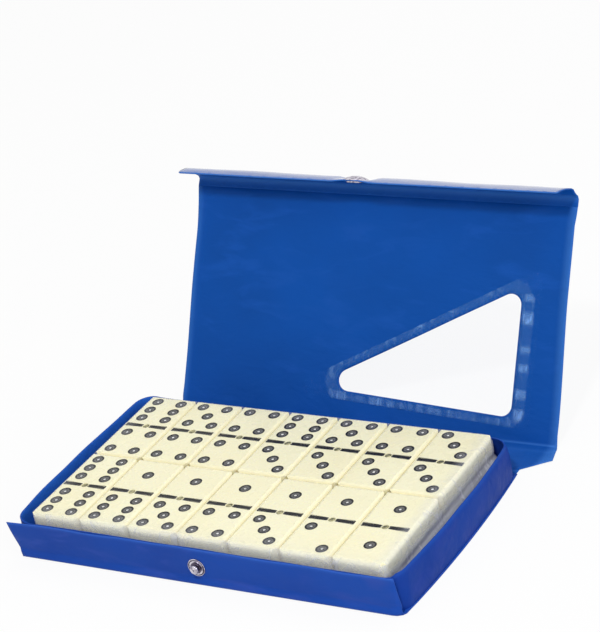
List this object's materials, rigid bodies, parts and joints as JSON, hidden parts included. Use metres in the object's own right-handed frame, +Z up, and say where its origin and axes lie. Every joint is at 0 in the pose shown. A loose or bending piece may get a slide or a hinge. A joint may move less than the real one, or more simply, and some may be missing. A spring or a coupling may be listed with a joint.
{
  "type": "domino storage box",
  "caption": "Folding vinyl storage box, standing open: a welded tray with bowed ends, a spine, a lid with a clear window and a snap flap, holding a shrink-wrapped set of dominoes.",
  "frame": {"origin": "on the underside of the base sheet, under the middle of the tiles", "axes": "+X along the box's long side, to the right seen from the front, +Y from the front panel to the spine, +Z up"},
  "size_m": [0.2041, 0.1906, 0.1036],
  "materials": {
    "cover_vinyl": "embossed blue vinyl sheet with a soft sheen",
    "tray_vinyl": "smooth dark blue vinyl sheet with a soft gloss",
    "window_film": "clear glossy vinyl film",
    "shrink_film": "clear glossy shrink film with wrinkles",
    "ivory_plastic": "polished ivory-coloured resin",
    "black_paint": "black enamel fill, half gloss",
    "pin_brass": "polished pale brass",
    "snap_metal": "nickel plated"
  },
  "bodies": {
    "case": {"base_panel": "cover_vinyl", "front_panel": "tray_vinyl", "tray_wall": "tray_vinyl", "snap_stud": "snap_metal", "stud_washer": "snap_metal"},
    "spine": {"spine_panel": "cover_vinyl"},
    "lid": {"lid_panel": "cover_vinyl", "window_film": "window_film"},
    "flap": {"closure_flap": "cover_vinyl", "snap_cap": "snap_metal", "snap_socket": "snap_metal"},
    "pack": {"domino_0_0": "ivory_plastic", "domino_1_0": "ivory_plastic", "domino_1_1": "ivory_plastic", "domino_2_0": "ivory_plastic", "domino_2_1": "ivory_plastic", "domino_2_2": "ivory_plastic", "domino_3_0": "ivory_plastic", "domino_3_1": "ivory_plastic", "domino_3_2": "ivory_plastic", "domino_3_3": "ivory_plastic", "domino_4_0": "ivory_plastic", "domino_4_1": "ivory_plastic", "domino_4_2": "ivory_plastic", "domino_4_3": "ivory_plastic", "domino_4_4": "ivory_plastic", "domino_5_0": "ivory_plastic", "domino_5_1": "ivory_plastic", "domino_5_2": "ivory_plastic", "domino_5_3": "ivory_plastic", "domino_5_4": "ivory_plastic", "domino_5_5": "ivory_plastic", "domino_6_0": "ivory_plastic", "domino_6_1": "ivory_plastic", "domino_6_2": "ivory_plastic", "domino_6_3": "ivory_plastic", "domino_6_4": "ivory_plastic", "domino_6_5": "ivory_plastic", "domino_6_6": "ivory_plastic", "pip_paint": "black_paint", "divider_paint": "black_paint", "spinner_pins": "pin_brass", "shrink_film": "shrink_film"}
  },
  "joints": [
    {"name": "spine_hinge", "type": "hinge", "parent": "case", "child": "spine", "pos_m": [0, 0.05368, 0.0003], "axis": [-1, 0, 0], "range_deg": [-90, 0]},
    {"name": "lid_hinge", "type": "hinge", "parent": "spine", "child": "lid", "pos_m": [0, 0.07484, 0.0003], "axis": [-1, 0, 0], "range_deg": [-32.3, 56.5]},
    {"name": "flap_hinge", "type": "hinge", "parent": "lid", "child": "flap", "pos_m": [0, 0.1335, 0.09308], "axis": [-1, 0, 0], "range_deg": [0, 90]},
    {"name": "pack_lift", "type": "slide", "parent": "case", "child": "pack", "axis": [0, 0, 1], "range_m": [0, 0.03]}
  ]
}
